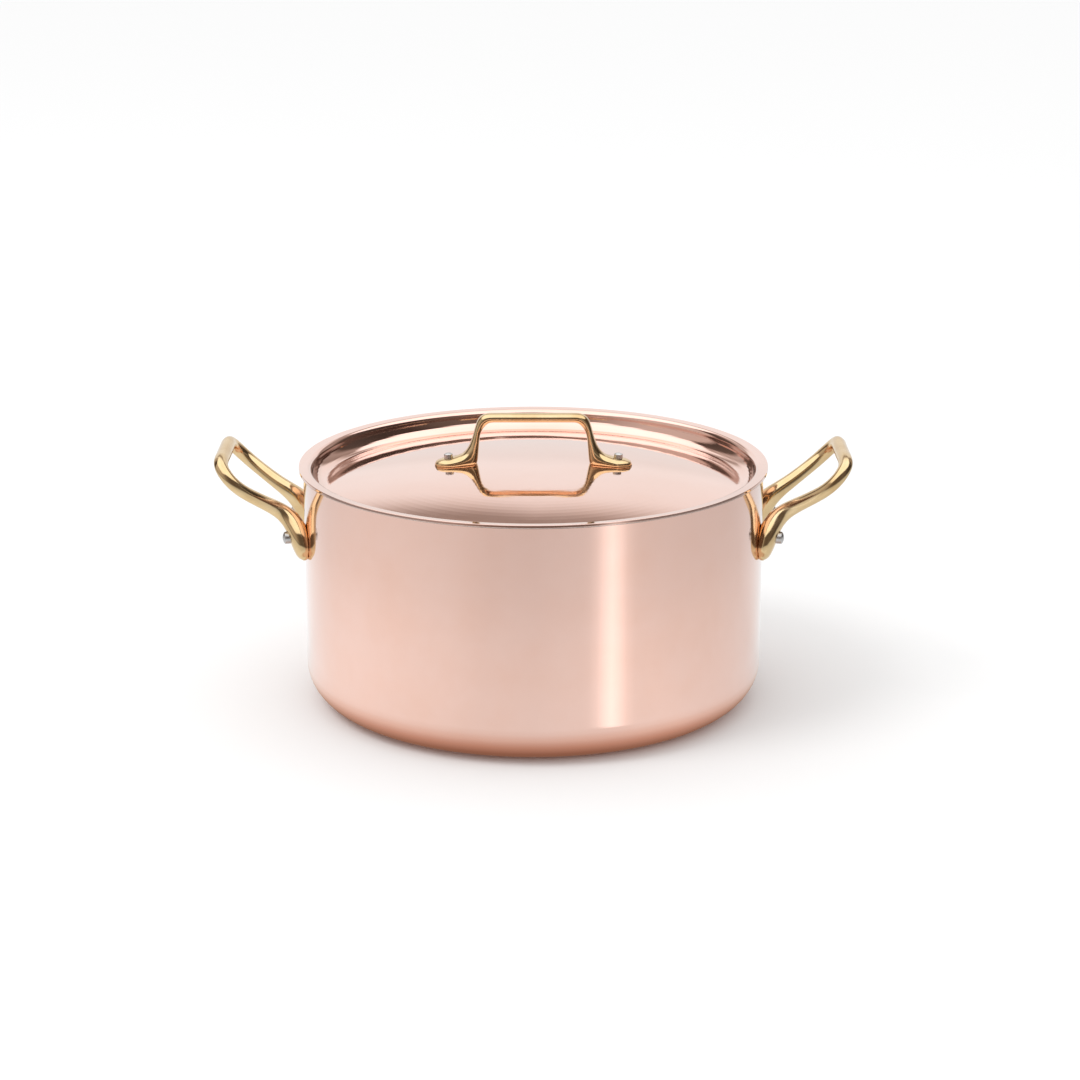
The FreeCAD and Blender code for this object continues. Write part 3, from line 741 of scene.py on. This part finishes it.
# Painted shadow and painted copper reflection: dark red close under the pan, white a little way out, dimmer
# further off.
painted_shadow_by_reach = tints(add, ranged(add, out, 0.10, 0.60, 0.0, 1.0), [
    (0.0, (0.20, 0.10, 0.07)), (0.024, (0.34, 0.17, 0.11)), (0.04, (0.62, 0.40, 0.31)),
    (0.06, (0.86, 0.72, 0.65)), (0.09, (0.96, 0.92, 0.90)), (0.14, (1.0, 1.0, 1.0)), (0.24, (1.0, 1.0, 1.0)),
    (0.42, (0.96, 0.96, 0.96)), (0.60, (0.88, 0.88, 0.88)), (0.80, (0.835, 0.835, 0.835)),
    (1.0, (0.82, 0.82, 0.82))])
# Painted shade: far off in front the glow is dimmed.
how_front = ranged(add, reckon(add, "ABSOLUTE", bearing), 130, 150, 0.78, 0.0)
far_off = ranged(add, out, 0.75, 1.15, 0.0, 1.0)
kept = reckon(add, "SUBTRACT", 1.2, reckon(add, "MULTIPLY", how_front, far_off))
bright = reckon(add, "MULTIPLY", by_bearing, kept)
# The floor's glow is painted light, seen only in the polish; the eye sees only the matt white.
glow = add("ShaderNodeEmission", [("Color", painted_shadow_by_reach), ("Strength", bright)])
matt = add("ShaderNodeBsdfDiffuse", [("Color", (0.80, 0.80, 0.80, 1))])
path = add("ShaderNodeLightPath")
surface = add("ShaderNodeMixShader", [
    (0, path.outputs["Is Glossy Ray"]), (1, matt.outputs[0]), (2, glow.outputs[0])])
add("ShaderNodeOutputMaterial", [(0, surface.outputs[0])])
floor.data.materials.append(paper)

# A tall narrow light panel just off the wall, seen only in the polish.
panel_bearing, panel_turn, panel_out, panel_half, panel_tall = 24.3, 40.8, 0.166, 0.028, 0.30
panel_material = bpy.data.materials.new("panel_glow")
panel_material.use_nodes = True
panel_material.node_tree.nodes.clear()
add = node_adder(panel_material.node_tree)
across = add("ShaderNodeSeparateXYZ", [(0, add("ShaderNodeTexCoord").outputs["UV"])]).outputs[0]
profile = curve_of(add, across, 0, 1, [
    (0, 0.0), (0.12, 0.02), (0.25, 0.12), (0.38, 0.36), (0.5, 0.52), (0.62, 0.36), (0.75, 0.12),
    (0.88, 0.02), (1, 0.0)])
glow = add("ShaderNodeEmission", [("Strength", profile)])
clear = add("ShaderNodeBsdfTransparent")
both = add("ShaderNodeAddShader", [(0, glow.outputs[0]), (1, clear.outputs[0])])
add("ShaderNodeOutputMaterial", [(0, both.outputs[0])])
a, b = math.radians(panel_bearing), math.radians(panel_turn)
middle = Vector((math.sin(a), -math.cos(a), 0)) * panel_out
wide = Vector((math.cos(b), math.sin(b), 0)) * panel_half
up = Vector((0, 0, panel_tall))
panel = bpy.data.objects.new("light_panel", plain_mesh("light_panel", [
    middle - wide, middle + wide, middle + wide + up, middle - wide + up], [(0, 1, 2, 3)]))
across_map = panel.data.uv_layers.new(name="across")
for corner, spot in zip(across_map.data, ((0, 0), (1, 0), (1, 1), (0, 1))):
    corner.uv = spot
panel.data.materials.append(panel_material)
scene.collection.objects.link(panel)
panel.visible_camera = panel.visible_diffuse = panel.visible_shadow = panel.visible_transmission = False

key = bpy.data.lights.new("soft_key", "AREA")
key.shape, key.size, key.energy = "DISK", 1.0, 14
lamp = bpy.data.objects.new("soft_key", key)
lamp.location = (-1.2, -0.7, 1.9)
lit_point = Vector((0, 0, 0.05))
lamp.rotation_euler = (lit_point - lamp.location).to_track_quat("-Z", "Y").to_euler()
lamp.visible_glossy = False
lamp.visible_camera = False
scene.collection.objects.link(lamp)

camera = bpy.data.objects.new("camera", bpy.data.cameras.new("camera"))
camera.data.lens, camera.data.sensor_width = 93.37, 36.0
camera.location = (0.00351, -1.4399, 0.5046)
looking_down = math.radians(16.27)
camera.rotation_euler = (math.pi / 2 - looking_down, 0, 0)
camera.data.clip_start = 0.05
scene.collection.objects.link(camera)
scene.camera = camera
